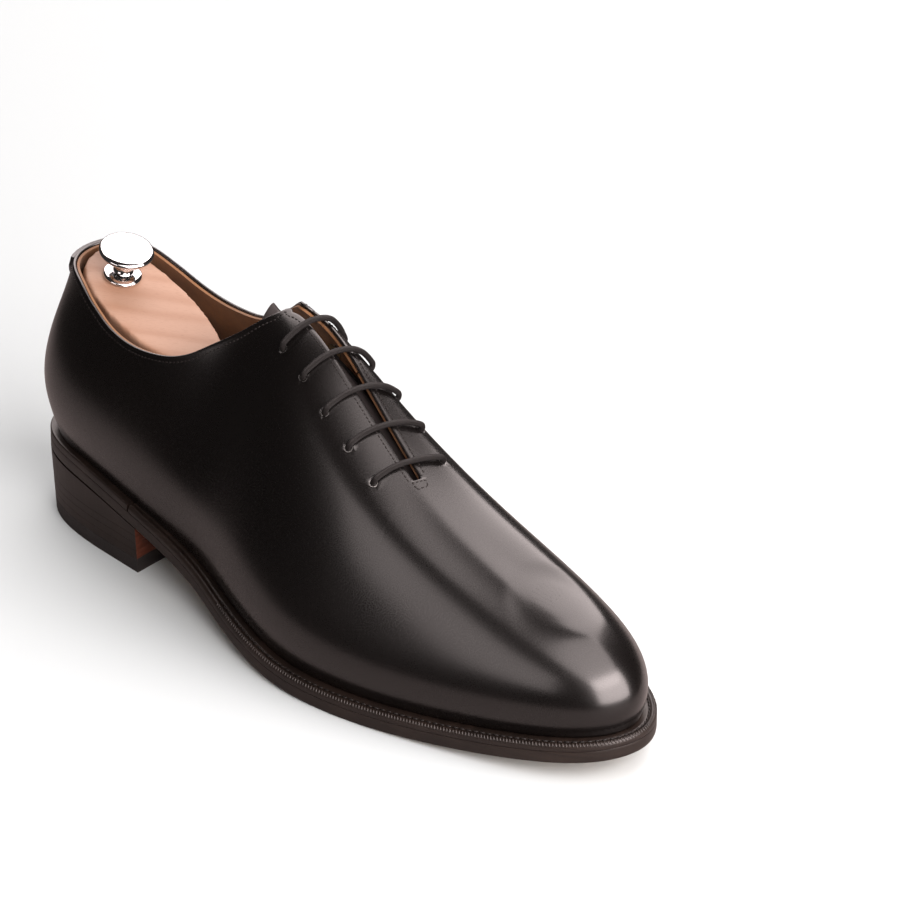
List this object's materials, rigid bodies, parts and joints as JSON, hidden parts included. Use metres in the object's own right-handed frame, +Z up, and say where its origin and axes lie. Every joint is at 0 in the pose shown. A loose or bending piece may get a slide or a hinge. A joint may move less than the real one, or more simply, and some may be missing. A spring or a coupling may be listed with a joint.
{
  "type": "leather oxford shoe with shoe tree",
  "caption": "Black wholecut oxford shoe for the right foot, laced over a closed slit, with a sprung wooden shoe tree inside.",
  "frame": {"origin": "on the ground under the middle of the shoe's bounding box", "axes": "+X to the toe, +Y to the medial side, +Z up"},
  "size_m": [0.3032, 0.1018, 0.1229],
  "materials": {
    "black_calf": "polished black calf, satin gloss",
    "dressed_edge": "black dressed edge, waxed",
    "sole_leather": "natural tan sole leather",
    "tan_lining": "tan lining calf, matt",
    "fibre_board": "stiff leatherboard",
    "heel_rubber": "black heel rubber",
    "cork": "granulated cork",
    "brass": "brushed brass",
    "steel": "dull steel",
    "chrome": "polished chrome",
    "beech": "pale sanded beech",
    "waxed_cotton": "round waxed cotton lace"
  },
  "bodies": {
    "shoe": {"rubber_top_piece": "heel_rubber", "heel_lift_1": "dressed_edge", "heel_lift_2": "dressed_edge", "heel_lift_3": "dressed_edge", "heel_seat_lift": "dressed_edge", "heel_nail_1": "brass", "heel_nail_2": "brass", "heel_nail_3": "brass", "heel_nail_4": "brass", "heel_nail_5": "brass", "outsole": "sole_leather", "heel_rand": "dressed_edge", "welt": "dressed_edge", "insole_rib": "fibre_board", "cork_filler": "cork", "seat_filler": "cork", "shank": "steel", "insole": "sole_leather", "heel_sock": "tan_lining", "wholecut_upper": "black_calf", "quarter_lining": "tan_lining", "vamp_lining": "tan_lining", "heel_counter": "fibre_board", "toe_puff": "fibre_board", "heel_tab": "black_calf", "tongue": "black_calf", "eyelet_lateral_1": "steel", "eyelet_lateral_2": "steel", "eyelet_lateral_3": "steel", "eyelet_lateral_4": "steel", "eyelet_lateral_5": "steel", "eyelet_medial_1": "steel", "eyelet_medial_2": "steel", "eyelet_medial_3": "steel", "eyelet_medial_4": "steel", "eyelet_medial_5": "steel", "lace": "waxed_cotton", "tree_forepart": "beech", "tree_pivot_pin": "steel"},
    "tree_rod": {"tree_rod": "steel", "tree_spring": "steel"},
    "tree_heel": {"tree_heel_block": "beech", "tree_tube": "brass", "tree_knob_flange": "chrome", "tree_knob": "chrome"}
  },
  "joints": [
    {"name": "tree_lift", "type": "hinge", "parent": "shoe", "child": "tree_rod", "pos_m": [-0.00986, -0.00062, 0.03675], "axis": [0, 1, 0], "range_deg": [0, 10]},
    {"name": "tree_compress", "type": "slide", "parent": "tree_rod", "child": "tree_heel", "axis": [0.9664, 0, -0.2571], "range_m": [0, 0.015], "stiffness_N_per_m": 600, "springref_m": -0.006, "deforming": ["tree_spring"]}
  ]
}
